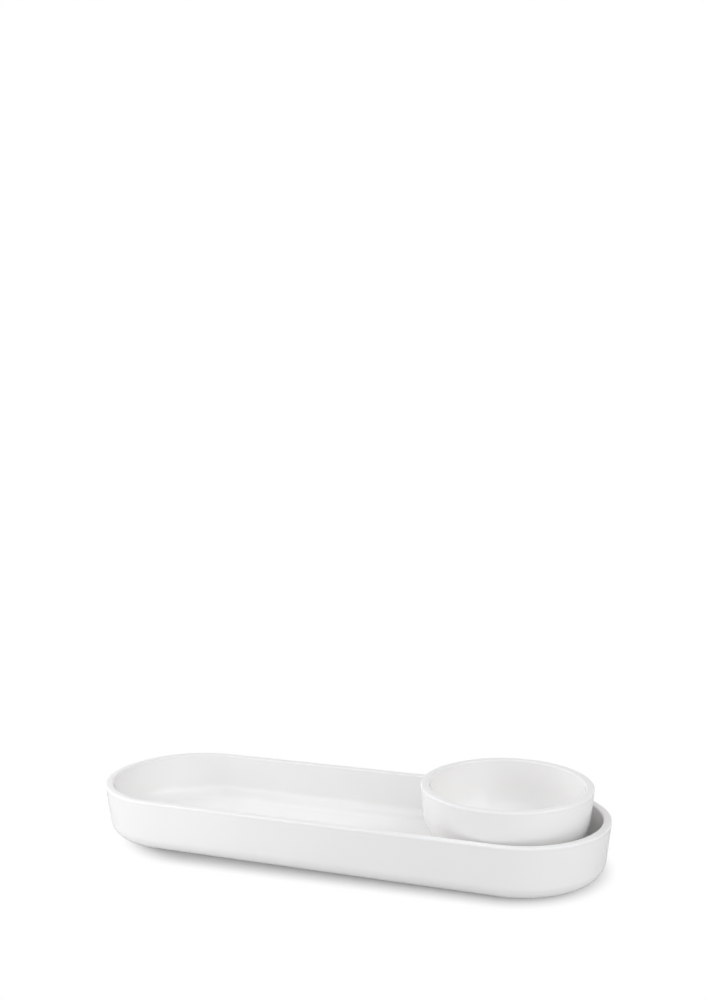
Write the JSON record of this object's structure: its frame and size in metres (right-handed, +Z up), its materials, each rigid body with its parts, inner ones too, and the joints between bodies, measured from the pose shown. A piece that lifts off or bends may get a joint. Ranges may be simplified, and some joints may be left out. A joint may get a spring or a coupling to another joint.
{
  "type": "olive dish",
  "caption": "Low white glazed trough with round ends for serving olives, and a loose round bowl for the stones that stands inside the end of it.",
  "frame": {"origin": "on the table, under the middle of the tray", "axes": "+X along the tray towards the end where the bowl stands, +Z up"},
  "size_m": [0.27, 0.09, 0.0426],
  "materials": {
    "tray_glaze": "clear gloss glaze over white porcelain",
    "bowl_glaze": "clear gloss glaze over white porcelain"
  },
  "bodies": {
    "tray": {"olive_tray": "tray_glaze"},
    "bowl": {"stone_bowl": "bowl_glaze"}
  },
  "joints": [
    {"name": "bowl_lift", "type": "slide", "parent": "tray", "child": "bowl", "axis": [0, 0, 1], "range_m": [0, 0.06]}
  ]
}
